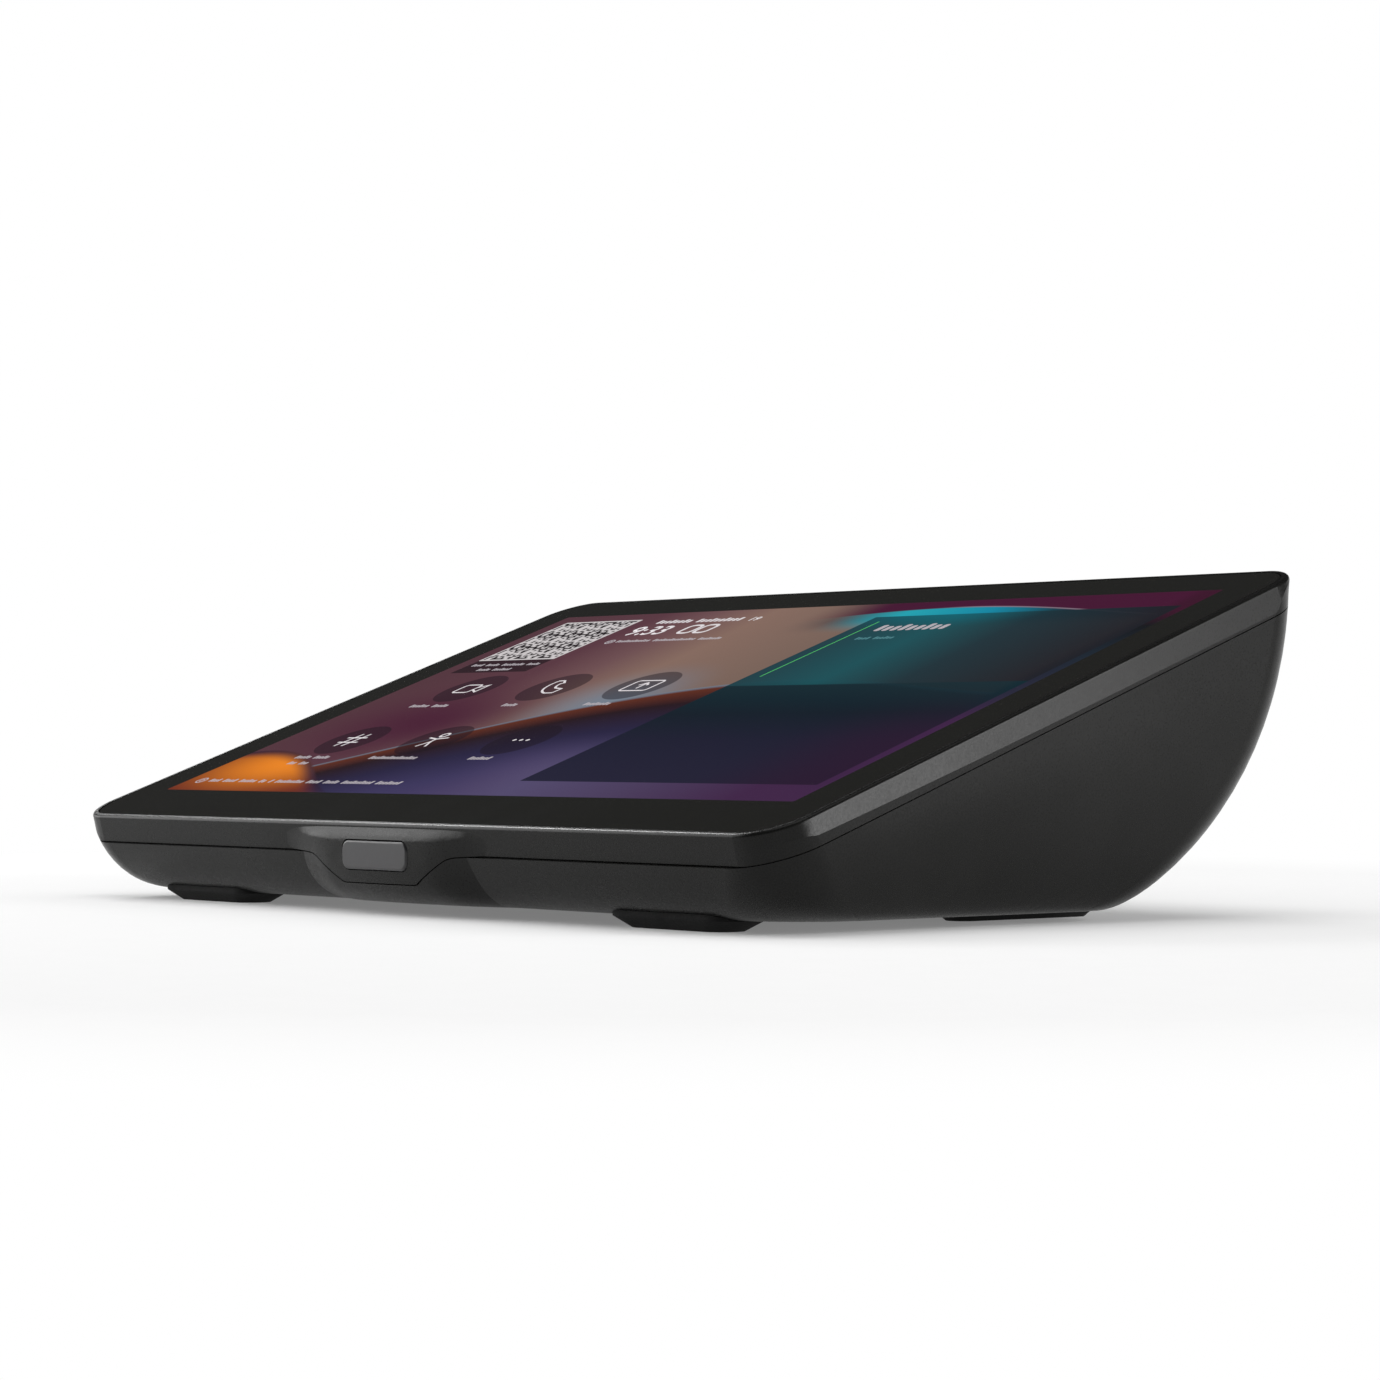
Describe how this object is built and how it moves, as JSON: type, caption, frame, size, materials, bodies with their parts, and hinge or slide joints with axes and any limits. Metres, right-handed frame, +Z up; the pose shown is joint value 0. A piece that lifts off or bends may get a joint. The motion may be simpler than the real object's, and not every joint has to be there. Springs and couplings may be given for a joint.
{
  "type": "desk ip phone",
  "caption": "Table-top touch console for network calls: tilted display in a two-part wedge housing with a motion sensor, cable bay and rubber feet.",
  "frame": {"origin": "middle of the footprint, on the desk under the feet", "axes": "+X to the user's right, +Y from the user to the back, +Z up"},
  "size_m": [0.2488, 0.1484, 0.0716],
  "materials": {
    "housing_plastic": "fine moulded grain, satin",
    "cover_glass": "polished",
    "adhesive_tape": "matt",
    "touch_film": "clear film",
    "display_picture": "lit picture",
    "tray_metal": "brushed",
    "sheet_steel": "zinc plated",
    "screw_steel": "blackened",
    "circuit_board": "solder resist",
    "ribbon_film": "amber film",
    "chip_resin": "moulded resin",
    "thermal_rubber": "soft",
    "spreader_aluminium": "anodised",
    "capacitor_sleeve": "plain can",
    "connector_plastic": "moulded",
    "contact_brass": "gold plated",
    "button_plastic": "moulded",
    "sensor_lens": "satin lens",
    "can_steel": "plated",
    "foot_rubber": "matt"
  },
  "bodies": {
    "console": {"upper_housing": "housing_plastic", "lower_housing": "housing_plastic", "cover_glass": "cover_glass", "glass_tape": "adhesive_tape", "touch_sensor": "touch_film", "lcd_panel": "display_picture", "backlight_tray": "tray_metal", "display_bracket": "sheet_steel", "bracket_screws": "screw_steel", "touch_board": "circuit_board", "touch_screws": "screw_steel", "touch_ribbon": "ribbon_film", "control_ribbon": "ribbon_film", "display_ribbon": "ribbon_film", "sensor_ribbon": "ribbon_film", "main_board": "circuit_board", "board_screws": "screw_steel", "processor": "chip_resin", "thermal_pad": "thermal_rubber", "heat_spreader": "spreader_aluminium", "spreader_screws": "screw_steel", "poe_transformer": "chip_resin", "board_capacitors": "capacitor_sleeve", "ribbon_sockets": "connector_plastic", "ethernet_jack": "connector_plastic", "jack_contacts": "contact_brass", "reset_switch": "chip_resin", "sensor_window": "sensor_lens", "sensor_board": "circuit_board", "motion_sensor": "can_steel", "housing_screws": "screw_steel", "front_foot_left": "foot_rubber", "front_foot_right": "foot_rubber", "rear_foot_left": "foot_rubber", "rear_foot_right": "foot_rubber"},
    "cable_cover": {"cable_cover": "housing_plastic"},
    "reset_button": {"reset_button": "button_plastic"}
  },
  "joints": [
    {"name": "cover_slide", "type": "slide", "parent": "console", "child": "cable_cover", "axis": [0, 1, 0], "range_m": [0, 0.04]},
    {"name": "reset_press", "type": "slide", "parent": "console", "child": "reset_button", "axis": [0, -1, 0], "range_m": [0, 0.0005], "stiffness_N_per_m": 600, "springref_m": -0.001}
  ]
}
